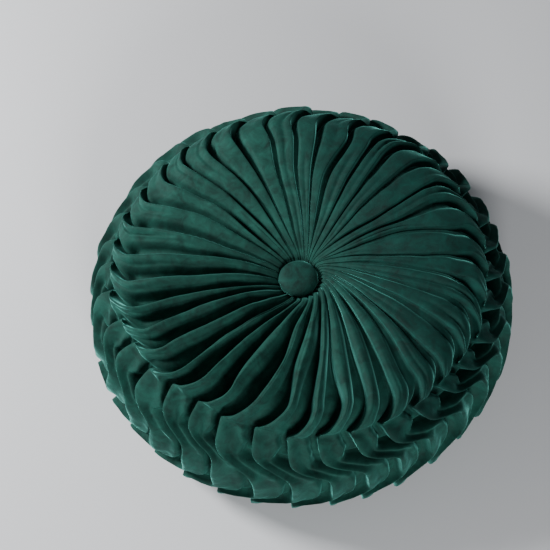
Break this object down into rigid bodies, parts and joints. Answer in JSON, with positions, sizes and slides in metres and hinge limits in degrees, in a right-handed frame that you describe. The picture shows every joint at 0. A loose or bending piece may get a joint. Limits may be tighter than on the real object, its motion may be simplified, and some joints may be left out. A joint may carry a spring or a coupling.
{
  "type": "round pleated cushion",
  "caption": "Round pleated cushion with a smocked side and a covered button sunk in the middle of each face.",
  "frame": {"origin": "centre of the cushion's bounding box at the resting plane, under the back face", "axes": "+Z points out of the front face, through the thickness; X and Y lie in the plane of the cushion"},
  "size_m": [0.3782, 0.3782, 0.1268],
  "materials": {
    "cover": "dark green velvet with a short pile",
    "button_front": "dark green velvet with a short pile",
    "button_back": "dark green velvet with a short pile"
  },
  "bodies": {
    "root": {"cover": "cover", "button_front": "button_front", "button_back": "button_back"}
  },
  "joints": []
}
